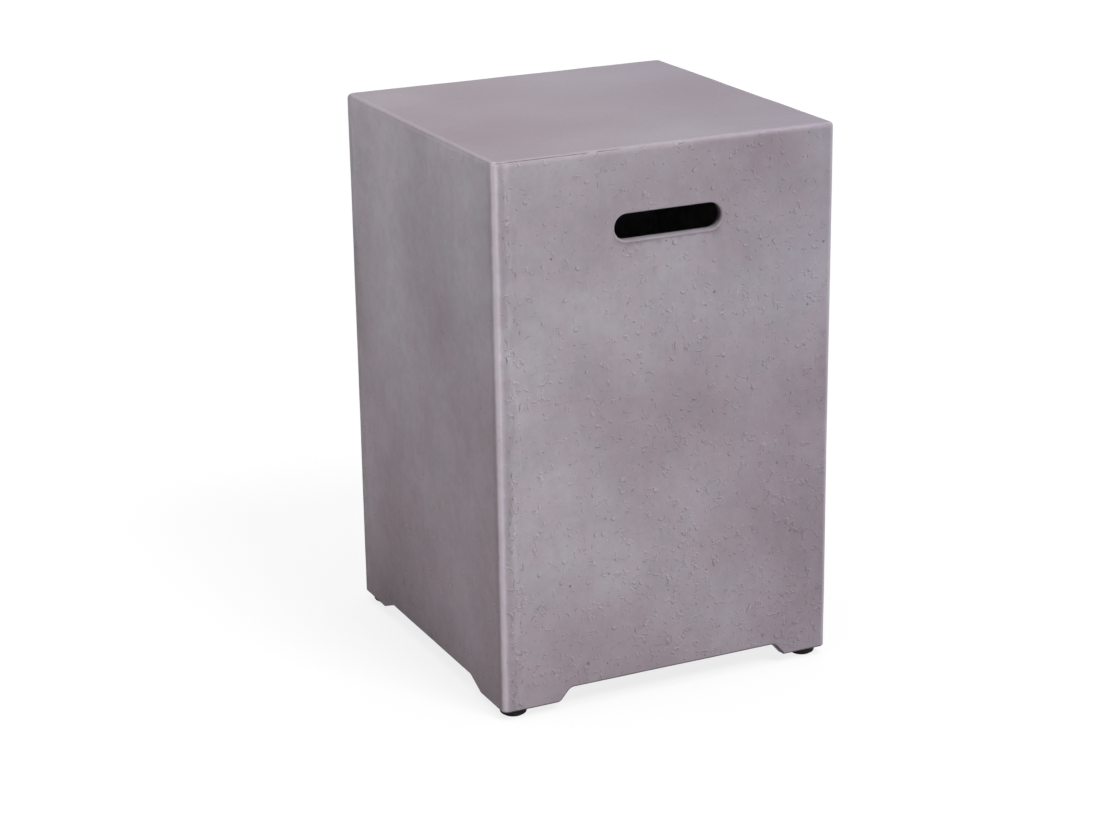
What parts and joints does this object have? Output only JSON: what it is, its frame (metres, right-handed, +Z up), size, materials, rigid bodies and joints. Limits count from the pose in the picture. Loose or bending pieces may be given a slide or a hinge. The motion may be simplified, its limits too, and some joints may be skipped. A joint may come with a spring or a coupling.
{
  "type": "propane tank cover table",
  "caption": "Square cast concrete cover that stands over a gas cylinder and serves as a side table, open below, with hand slots, hose reliefs and levelling feet.",
  "frame": {"origin": "on the floor, under the middle of the cover", "axes": "+Z up; -Y is the front, with the hand slot that the picture shows; +X is to the right, seen from the front"},
  "size_m": [0.41, 0.41, 0.627],
  "materials": {
    "cast_concrete": "matte",
    "block_concrete": "matte",
    "zinc_steel": "satin",
    "stud_steel": "satin",
    "black_plastic": "satin",
    "sole_rubber": "matte"
  },
  "bodies": {
    "cover": {"cast_shell": "cast_concrete", "corner_block_front_left": "block_concrete", "threaded_insert_front_left": "zinc_steel", "corner_block_front_right": "block_concrete", "threaded_insert_front_right": "zinc_steel", "corner_block_back_right": "block_concrete", "threaded_insert_back_right": "zinc_steel", "corner_block_back_left": "block_concrete", "threaded_insert_back_left": "zinc_steel"},
    "foot_front_left": {"foot_base_front_left": "black_plastic", "foot_sole_front_left": "sole_rubber"},
    "stud_front_left": {"foot_stud_front_left": "stud_steel"},
    "foot_front_right": {"foot_base_front_right": "black_plastic", "foot_sole_front_right": "sole_rubber"},
    "stud_front_right": {"foot_stud_front_right": "stud_steel"},
    "foot_back_right": {"foot_base_back_right": "black_plastic", "foot_sole_back_right": "sole_rubber"},
    "stud_back_right": {"foot_stud_back_right": "stud_steel"},
    "foot_back_left": {"foot_base_back_left": "black_plastic", "foot_sole_back_left": "sole_rubber"},
    "stud_back_left": {"foot_stud_back_left": "stud_steel"}
  },
  "joints": [
    {"name": "foot_slide_front_left", "type": "slide", "parent": "cover", "child": "foot_front_left", "axis": [0, 0, -1], "range_m": [0, 0.012]},
    {"name": "stud_turn_front_left", "type": "hinge", "parent": "foot_front_left", "child": "stud_front_left", "pos_m": [-0.184, -0.184, 0.01], "axis": [0, 0, -1], "range_deg": [0, 3456]},
    {"name": "foot_slide_front_right", "type": "slide", "parent": "cover", "child": "foot_front_right", "axis": [0, 0, -1], "range_m": [0, 0.012]},
    {"name": "stud_turn_front_right", "type": "hinge", "parent": "foot_front_right", "child": "stud_front_right", "pos_m": [0.184, -0.184, 0.01], "axis": [0, 0, -1], "range_deg": [0, 3456]},
    {"name": "foot_slide_back_right", "type": "slide", "parent": "cover", "child": "foot_back_right", "axis": [0, 0, -1], "range_m": [0, 0.012]},
    {"name": "stud_turn_back_right", "type": "hinge", "parent": "foot_back_right", "child": "stud_back_right", "pos_m": [0.184, 0.184, 0.01], "axis": [0, 0, -1], "range_deg": [0, 3456]},
    {"name": "foot_slide_back_left", "type": "slide", "parent": "cover", "child": "foot_back_left", "axis": [0, 0, -1], "range_m": [0, 0.012]},
    {"name": "stud_turn_back_left", "type": "hinge", "parent": "foot_back_left", "child": "stud_back_left", "pos_m": [-0.184, 0.184, 0.01], "axis": [0, 0, -1], "range_deg": [0, 3456]}
  ],
  "couplings": [
    {"joint": "stud_turn_front_left", "follows": "foot_slide_front_left", "rad_per_m": 5026.5},
    {"joint": "stud_turn_front_right", "follows": "foot_slide_front_right", "rad_per_m": 5026.5},
    {"joint": "stud_turn_back_right", "follows": "foot_slide_back_right", "rad_per_m": 5026.5},
    {"joint": "stud_turn_back_left", "follows": "foot_slide_back_left", "rad_per_m": 5026.5}
  ]
}
